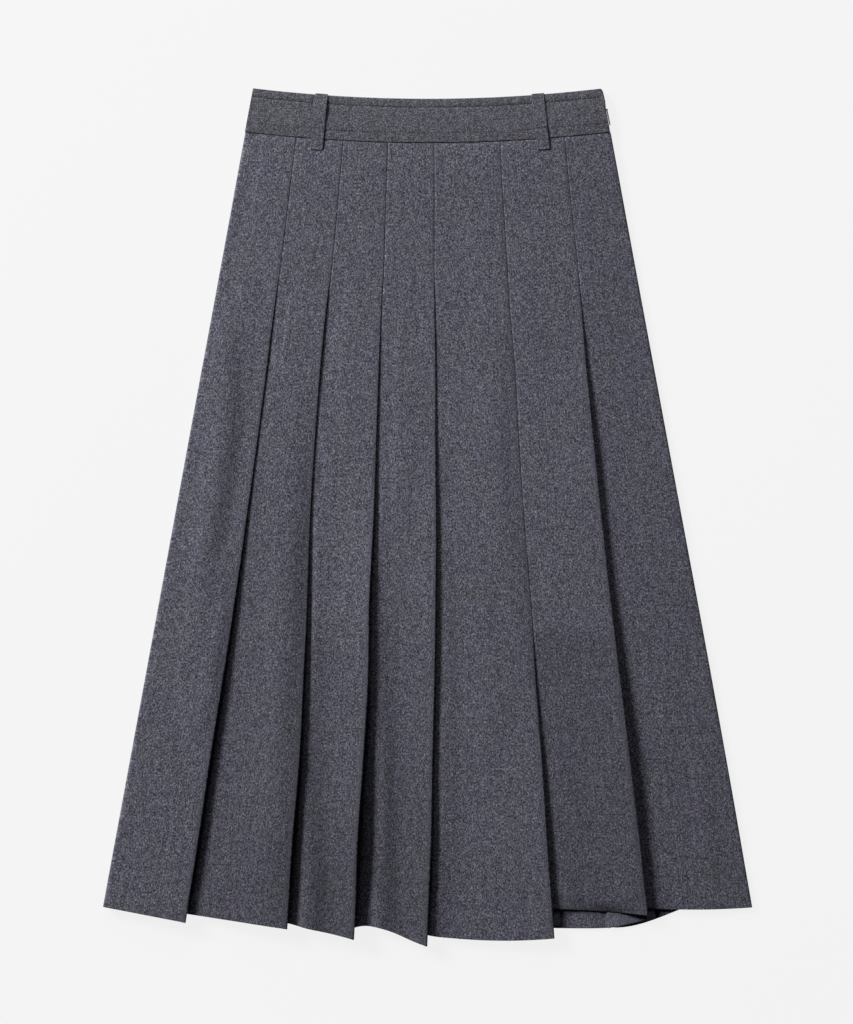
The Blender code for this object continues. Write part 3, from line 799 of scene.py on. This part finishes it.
def hemDrops(cut):
    bottom = skirt["hemDrop"]
    edges = panelEdges(cut, bottom)
    drops = []
    for x, _, _, part, number in wholeSection(cut, bottom):
        left, right, bow, lean = cut["hems"][number]
        if part == "panel":
            share = clamp((x - edges[number]) / (edges[number + 1] - edges[number]))
            bowed = bow * 4 * share * (1 - share) * (1 + lean * (0.5 - share))
            drops.append(mix(left, right, share) + bowed)
        elif part == "fold":
            drops.append(right)
        else:
            drops.append(cut["pleats"][number]["inner"])
    return drops


def rowShares(every):
    # rows crowd where the hem's turn-up shows through
    close = (0.0, 1.2, 3.0, 7.0, 13.0, 19.0, 24.0, 27.0, 29.0, 31.0, 34.0, 39.0)
    count = round((skirt["hemDrop"] - close[-1]) / every)
    evenly = [n / count * (1 - close[-1] / skirt["hemDrop"]) for n in range(count)]
    return evenly + [1 - up / skirt["hemDrop"] for up in reversed(close)]


def pleatedCloth(name, cut, toWorld, finish):
    hems = hemDrops(cut)
    waist = [seamDrop(point[0]) for point in wholeSection(cut, 0.0)]
    shares = rowShares(cut["rowEvery"])
    top, every, count = skirt["sections"]
    sections = [wholeSection(cut, top + every * n) for n in range(count)]
    hemFold, uneven = skirt["hemFold"], skirt["hemUneven"]
    hemEdge, curl = skirt["hemEdge"], skirt["curl"]

    def between(column, drop):
        n = min(int((drop - top) / every), len(sections) - 2)
        share = (drop - top) / every - n
        a, b = sections[n][column], sections[n + 1][column]
        return [mix(a[k], b[k], share) for k in range(3)]

    def place(column, row):
        drop = mix(waist[column], hems[column], shares[row])
        x, height, clear = between(column, drop)
        part, number = sections[0][column][3:]
        # the weave runs down the middle of each panel
        edges = panelEdges(cut, drop)
        middle = (edges[number] + edges[number + 1]) / 2
        u = x - middle + (cut["patternAt"] + number * skirt["patternStep"])
        if part == "panel":
            height += clear * cut["uneven"] * waviness(skirt["waves"], x, drop, number)
            above = hems[column] - drop
            at = Vector((x / uneven["wide"], number * uneven["step"], uneven["start"]))
            pressed = hemFold["share"] + uneven["share"] * noise.noise(at)
            dent = bell((above - hemFold["above"]) / hemFold["wide"])
            height -= clear * hemFold["deep"] * pressed * dent
            height -= hemEdge["deep"] * clear * bell(above / hemEdge["wide"])
            curled = cut["curls"][number] * (1 - clamp(above / curl["over"]))
            curled *= clear * ease((edges[number + 1] - x - curl["from"]) / curl["soft"])
            height = mix(height, low - curl["sink"], curled)
            # and the weave carries on down the rounded sides
            u += height * clamp(1 - (x - edges[0]) / skirt["sideRound"])
            u -= height * clamp(1 - (edges[-1] - x) / skirt["sideRound"])
        elif part == "fold":
            u += height * skirt["foldPattern"]
        else:
            u += skirt["tuckPattern"]
        return (*toWorld(x, skirt["seamMiddleY"] - drop, height, drop), u, -drop)

    shape = gridShape(len(hems), len(shares), place)
    piece = addPiece(name, shape, finish, name.removesuffix("_cloth"))
    thicken(piece, skirt["thick"])
    roundRims(piece, skirt["rim"])
    return piece


def frontPlace(x, y, height, drop):
    return x, y, stack + skirt["pieceGap"] + height + waistLift(drop)


def backPlace(x, y, height, drop):
    # the back is made as the front is and turned over, so that its outside lies on the floor
    return -x, y, stack - min(height, flush) + waistLift(drop)


front = pleatedCloth("front_skirt_cloth", frontCut, frontPlace, skirtWool)
back = pleatedCloth("back_skirt_cloth", backCut, backPlace, skirtWool)
print("skirt front and back made")


# waistband
band = {
    "height": 43.3,
    "topHalf": 175.0,
    "topRise": 10.5,
    "seamHalf": 183.0,
    "thick": 2.6,
    "backLower": 1.0,
    "zipRecess": 1.8,
    "seamLevel": 7.1,
    # at the viewer's right end its seam edge sinks with the skirt: depth, from, over,
    # and up to which share of the height
    "sideFall": (2.1, 138, 44, 0.7),
    "topLevel": 4.2,
    "allowance": 0.25,
    "stitchBelowTop": 8.5,
    "allowanceAbove": 10.2,
    "cornerRound": 3.0,
    "cornerFrom": 0.6,
    "rim": 0.7,
    "columns": 180,
    "edgeShare": 0.022,  # the rounded edges' part of the height
    "flatHeight": 46.0,  # as its sheet is cut
    # what relief the sewing leaves: depths, and half widths or places beside them
    "groove": (0.55, 1.0),
    "roll": (0.16, 4.0, 3.0),
    "dimple": 0.2,  # how much shallower the groove is between two stitches
    # plain depth, more near the loops, how far it fades out, how soft its edge is
    "line": (0.24, 0.34, 5.0, 1.3),
    "nearLoops": ((-95, 30), (112, 22)),
    "waves": ((26, 17, 0, 3.1, 0.16), (8, 11, 0, 8.4, 0.07)),
    # the band stays back by zipRecess only where the slider and its pull stand;
    # above and below: share of the height, how softly, and how far back it stays there
    "notch": ((0.62, 0.06, 0.2), (0.42, 0.04, 0.9)),
}
topStitch = {"every": 3.2, "long": 2.8, "thick": 0.9, "ends": (1.5, 3.0), "above": 0.1}


def bandEdge(share, side):
    recess = band["zipRecess"] if side > 0 else 0.0
    return mix(band["seamHalf"], band["topHalf"], share) - recess


def bandTopY(x):
    return skirt["seamMiddleY"] + band["height"] + band["topRise"] * (x / band["topHalf"]) ** 2


def bandSeamY(x):
    return skirt["seamMiddleY"] - seamDrop(x) + skirt["pieceGap"]


def frontBandLevel(share, x):
    sloped = clamp((share - band["allowance"]) / (1 - band["allowance"]))
    deep, start, over, upTo = band["sideFall"]
    sunk = deep * ease((x - start) / over) * (1 - ease(share / upTo))
    return mix(band["seamLevel"], band["topLevel"], sloped) - sunk


def backBandLevel(share, x):
    return band["thick"] / 2


def bandRelief(x, y, top, seam):
    # what the sewing does to the band's outside: stitch groove, allowance step, soft waves
    down, up = top - y, y - seam
    wave = math.cos(2 * math.pi * x / topStitch["every"])
    stitchy = 1 - band["dimple"] + band["dimple"] * wave
    deep, half = band["groove"]
    groove = -deep * stitchy * bell((down - band["stitchBelowTop"]) / half)
    high, at, half = band["roll"]
    roll = high * bell((down - at) / half)
    nearLoops = sum(bell((x - at) / half) for at, half in band["nearLoops"])
    plain, more, fade, soft = band["line"]
    under = band["allowanceAbove"] - up
    line = ease((under + soft / 2) / soft) * math.exp(-max(0.0, under) / fade)
    line *= -(plain + more * nearLoops)
    return groove + roll + line + waviness(band["waves"], x, y)


def bandRing():
    # round the band's section: (share of the height, share of the half thickness, outside?)
    edge = band["edgeShare"]
    inner = [0.03 + 0.94 * n / 26 for n in range(27)]
    # closer points where the allowance line runs
    inner = [s for s in inner if not 0.21 < s < 0.31] + [0.21 + 0.0125 * n for n in range(9)]
    groove = 1 - band["stitchBelowTop"] / band["flatHeight"]
    outside = sorted(inner + [groove - 0.02, groove - 0.008, groove + 0.008, groove + 0.02])

    def bend(middle, start, turn, steps, counts):
        angles = [math.radians(start + turn * n / steps) for n in counts]
        return [(middle + edge * math.cos(a), math.sin(a), math.sin(a) >= 0) for a in angles]

    ring = bend(1 - edge, 0, 90, 5, range(5))
    ring += [(s, 1.0, True) for s in reversed(outside)]
    ring += bend(edge, 90, 180, 8, range(9))
    ring += [(s / 10, -1.0, False) for s in range(1, 10)]
    return ring + bend(1 - edge, -90, 90, 5, range(1, 5))


def waistband(name, lower, level, facing):
    # a folded strip with a curved top and seam; facing is 1 where its outside is upwards
    ring, columns = bandRing(), band["columns"]
    (high, highSoft, highBack), (deep, deepSoft, deepBack) = band["notch"]
    pattern = {True: 900, False: 1400}  # the outside and the inside have their own weave

    def place(column, row):
        share, across, outside = ring[row % len(ring)]
        spread = 2 * column / (columns - 1) - 1
        edge = bandEdge(share, spread)
        if spread > 0:
            above = ease((share - high) / highSoft) * (band["zipRecess"] - highBack)
            below = ease((deep - share) / deepSoft) * (band["zipRecess"] - deepBack)
            edge += above + below
        x = spread * edge
        top, seam = bandTopY(x) - lower, bandSeamY(x)
        corner = band["cornerRound"]
        into = x - (edge - corner)
        if spread > 0 and into > 0:
            cut = corner - math.sqrt(max(0.0, corner**2 - into**2))
            top -= cut * ease((share - band["cornerFrom"]) / (1 - band["cornerFrom"]))
        y = mix(seam, top, share)
        height = band["thick"] / 2 * across
        if outside:
            height += bandRelief(x, y, top, seam) * clamp(across) ** 2
        z = skirt["loopsLift"] + level(share, x) + height * facing
        if facing < 0:
            z = max(z, skirt["loopsLift"])
        return x, y, z, x + pattern[outside], y

    shape = gridShape(columns, len(ring) + 1, place)
    bmesh.ops.remove_doubles(shape, verts=shape.verts, dist=1e-7)
    bmesh.ops.holes_fill(shape, edges=shape.edges, sides=0)
    bmesh.ops.recalc_face_normals(shape, faces=shape.faces)
    piece = addPiece(name, shape, bandWool, name.removesuffix("_cloth"))
    roundRims(piece, band["rim"], 3)
    return piece


frontBand = waistband("waistband_front_cloth", 0.0, frontBandLevel, 1)
backBand = waistband("waistband_back_cloth", band["backLower"], backBandLevel, -1)
print("waistband made")


# belt loops
loop = {
    "thick": 1.0,
    "gap": 0.12,
    "wide": 12.4,
    "belowSeam": 10.7,
    "bulgeAt": 0.24,
    "bulgeLong": 0.2,
    "lowTack": (0.25, 2.4, 1.2),  # the thread pulls it in: depth, above its end, half width
    "highTack": (0.7, 21.5, 0.9),
    "pattern": 1800,
    "overTop": 1.2,  # its run down the band starts this far below the top edge
    "stepDown": 8.0,  # and below the seam it comes down to the skirt over this
    # how it turns over the top edge: share of its clearance out, how far under its crest
    "turn": ((1.0, 1.3), (0.45, 0.35)),
    "tuckedIn": 0.2,
    "ribs": 0.10,
    "rim": 0.45,
    "waves": ((9, 12, 0, 2.2, 0.15),),
    "columns": 9,
    "rows": 100,
}
frontLoops = (
    {"name": "belt_loop_front_left", "top": -106.4, "bottom": -111.4, "tack": 0.0, "bulge": 1.5},
    {"name": "belt_loop_front_right", "top": 109.7, "bottom": 115.5, "tack": 1.0, "bulge": 0.15},
)
backLoops = (
    {"name": "belt_loop_back_right", "top": -107.0, "bottom": -113.0},
    {"name": "belt_loop_back_left", "top": 107.0, "bottom": 113.0},
)


def frontLoopPath(xTop, xBottom, bulge):
    # over the band's top edge, then down its outside to below the waist seam
    top = bandTopY(xTop)
    bottom = skirt["seamMiddleY"] - seamDrop(xBottom) - loop["belowSeam"]
    clear = loop["gap"] + loop["thick"] / 2
    crest, start = band["topLevel"] + band["thick"] / 2 + clear, top - loop["overTop"]
    path = [(xTop, top + clear, band["topLevel"] - loop["tuckedIn"])]
    path += [(xTop, top + clear * out, crest - under) for out, under in loop["turn"]]
    path.append((xTop, start, crest))
    steps = 9
    for step in range(1, steps + 1):
        share = step / steps
        x, y = mix(xTop, xBottom, share), mix(start, bottom, share)
        seam = bandSeamY(x)
        if y > seam:
            surface = frontBandLevel((y - seam) / (top - seam), x) + band["thick"] / 2
        else:
            edge = band["seamLevel"] + band["thick"] / 2
            down = ease((seam - y) / loop["stepDown"])
            surface = mix(edge, 2 * stack + skirt["pieceGap"], down)
        bulged = bulge * bell((share - loop["bulgeAt"]) / loop["bulgeLong"])
        path.append((x, y, surface + clear + bulged))
    return path


def backLoopPath(xTop, xBottom, bulge):
    top = bandTopY(xTop) - band["backLower"]
    bottom = skirt["seamMiddleY"] - seamDrop(xBottom) - loop["belowSeam"]
    level = loop["thick"] / 2 - skirt["loopsLift"]
    return [(mix(xTop, xBottom, k / 6), mix(top, bottom, k / 6), level) for k in range(7)]


def alongPath(path, share):
    # a smooth curve through the path's points, by its length
    lengths = [0.0]
    for a, b in zip(path, path[1:]):
        lengths.append(lengths[-1] + math.dist(a, b))
    at = share * lengths[-1]
    return [smoothCurve(lengths, [p[k] for p in path], at) for k in range(3)] + [at, lengths[-1]]


def beltLoop(settings, pathOf, shaped):
    def place(column, row):
        across = column / (loop["columns"] - 1) - 0.5
        side = across * loop["wide"]
        ends = (settings["top"] + side, settings["bottom"] + side)
        path = pathOf(*ends, settings.get("bulge", 0.0))
        x, y, z, at, long = alongPath(path, row / (loop["rows"] - 1))
        if shaped:
            (lowDeep, lowAt, lowHalf), (deep, up, half) = loop["lowTack"], loop["highTack"]
            z -= lowDeep * bell((long - at - lowAt) / lowHalf)
            z -= settings["tack"] * deep * bell((long - at - up) / half)
            z += loop["ribs"] * math.cos(across * 4 * math.pi)
            z += waviness(loop["waves"], x, y)
        return x, y, skirt["loopsLift"] + z, side + loop["pattern"], y

    shape = gridShape(loop["columns"], loop["rows"], place)
    piece = addPiece(settings["name"] + "_cloth", shape, bandWool, settings["name"])
    thicken(piece, loop["thick"])
    roundRims(piece, loop["rim"])
    return piece


loopPieces = [
    beltLoop(dict(settings, on="waistband_front_cloth"), frontLoopPath, True)
    for settings in frontLoops
]
for settings in backLoops:
    beltLoop(dict(settings, on="waistband_back_cloth"), backLoopPath, False)
print("belt loops made")


# sewing that shows
def topStitching(name, lower, level, facing, gaps):
    stitches = []
    first, last = topStitch["ends"]
    x = -band["topHalf"] + first
    while x < band["topHalf"] - last:
        if not any(a < x < b for a, b in gaps):
            top, seam = bandTopY(x) - lower, bandSeamY(x)
            y = top - band["stitchBelowTop"]
            share = (y - seam) / (top - seam)
            height = band["thick"] / 2 + bandRelief(x, y, top, seam) + topStitch["above"]
            z = skirt["loopsLift"] + level(share, x) + facing * height
            slope = 2 * band["topRise"] * x / band["topHalf"] ** 2
            stitches.append((x, y, max(z, 0.4), math.atan(slope)))
        x += topStitch["every"]
    stitchRow(name, stitches, topStitch)


topStitching("waist_topstitch_front", 0.0, frontBandLevel, 1, ((-113, -98), (103, 117)))
topStitching("waist_topstitch_back", band["backLower"], backBandLevel, -1, ())

# short bars of thread: where the third pleat's sewing ends, and across the belt loops
loopLeft, loopRight = loopPieces
barTacks = (
    {"name": "pleat_bar_tack", "on": front, "from": (-52.5, 230.8), "to": (-37.0, 233.2)},
    {"name": "loop_tack_right", "on": loopRight, "from": (110.6, 388.5), "to": (120.6, 388.9)},
    {"name": "loop_tack_left", "on": loopLeft, "from": (-115.0, 389.6), "to": (-105.4, 388.8)},
)
tackLook = {"every": 1.3, "long": 2.0, "thick": 0.6, "onCloth": 1.0, "castFrom": 60.0}


def barTack(tack):
    mesh = tack["on"].data
    faces = [tuple(face.vertices) for face in mesh.polygons]
    surface = BVHTree.FromPolygons([vert.co for vert in mesh.vertices], faces)
    (x0, y0), (x1, y1) = tack["from"], tack["to"]
    count = round((x1 - x0) / tackLook["every"])
    stitches = []
    for n in range(count + 1):
        x, y = mix(x0, x1, n / count), mix(y0, y1, n / count)
        hit = surface.ray_cast(Vector((x, y, tackLook["castFrom"])) * mm, Vector((0, 0, -1)))[0]
        if hit:
            # the mesh is the middle of the cloth, half its thickness under its face
            z = hit.z / mm + tackLook["onCloth"] / 2
            stitches.append((x, y, z, (y1 - y0) / (x1 - x0)))
    stitchRow(tack["name"], stitches, tackLook)


for tack in barTacks:
    barTack(tack)
print("stitches made")


# the zip in the side seam
zipTape = {
    "sliderY": 407.5,
    "belowSlider": 5.2,
    "endDrop": 170.0,
    "wide": 5.0,
    "into": 3.0,
    "thick": 0.7,
    "bandLevel": 3.6,
    "skirtLevel": 3.0,
    "tooth": (1.3, 0.62, 1.1),
    "toothEvery": 1.15,
    "toothTurn": 0.35,
    "toothIn": 0.45,
    "toothFrom": (0.6, 1.0),  # free of teeth at its top and bottom
    "lowersPast": 15,  # it comes down to the skirt's level this far below the waist seam
    "columns": 5,
    "rows": 90,
}


def zipLineX(y):
    top, seam = bandTopY(band["topHalf"]), bandSeamY(band["seamHalf"])
    if y > seam:
        return bandEdge((y - seam) / (top - seam), 1)
    return halfWidth(skirt["seamMiddleY"] - y)


def zipLevel(y):
    top, seam = zipTape["sliderY"] - zipTape["belowSlider"], bandSeamY(band["seamHalf"])
    lowered = ease((top - y) / (top - seam + zipTape["lowersPast"]))
    level = mix(zipTape["bandLevel"], zipTape["skirtLevel"], lowered)
    return level + waistLift(skirt["seamMiddleY"] - y)


def sideZip():
    top = zipTape["sliderY"] - zipTape["belowSlider"]
    bottom = skirt["seamMiddleY"] - zipTape["endDrop"]
    rows, columns = zipTape["rows"], zipTape["columns"]

    def place(column, row):
        y = mix(top, bottom, row / (rows - 1))
        x = zipLineX(y) - zipTape["into"] - (1 - column / (columns - 1)) * zipTape["wide"]
        return x, y, zipLevel(y), x, y

    shape = gridShape(columns, rows, place)
    piece = addPiece("side_zip_tape", shape, tapeWeave, "side_zip")
    thicken(piece, zipTape["thick"])
    teeth = []
    above, below = zipTape["toothFrom"]
    y = top - above
    while y > bottom + below:
        x = zipLineX(y) - zipTape["into"] - zipTape["toothIn"]
        teeth.append((x, y, zipLevel(y), zipTape["toothTurn"]))
        y -= zipTape["toothEvery"]
    addPiece("side_zip_coil", beads(teeth, zipTape["tooth"]), tapeWeave)


sideZip()
for name in ("zip_slider", "zip_pull"):
    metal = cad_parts[name]
    metal.data.materials.clear()
    metal.data.materials.append(nickel)
print("zip made")

# the pale floor, and a backdrop that only the camera sees
floorLook = {"colour": 0.06, "glow": 0.85, "half": 40.0, "lower": 0.05}
backdropLook = {"colour": 0.0, "glow": 0.91, "radius": 38.0}


def plainStage(name, shape, look):
    shades = {"Base_Color": (*(look["colour"],) * 3, 1), "Emission_Strength": look["glow"]}
    paint = Paint(name, Roughness=0.9, Specular_IOR_Level=0.0, Emission_Color=(1,) * 4, **shades)
    made = addObject(name, meshOf(name, shape, paint.material))
    return made


ground = bmesh.new()
bmesh.ops.create_grid(ground, x_segments=1, y_segments=1, size=floorLook["half"])
bmesh.ops.translate(ground, vec=(0, 0, -floorLook["lower"] * mm), verts=ground.verts)
plainStage("floor", ground, floorLook)
dome = bmesh.new()
bmesh.ops.create_uvsphere(dome, u_segments=48, v_segments=24, radius=backdropLook["radius"])
bmesh.ops.reverse_faces(dome, faces=dome.faces)
backdrop = plainStage("backdrop", dome, backdropLook)
backdrop.visible_diffuse = backdrop.visible_glossy = backdrop.visible_shadow = False
print("stage made")

bpy.context.view_layer.update()
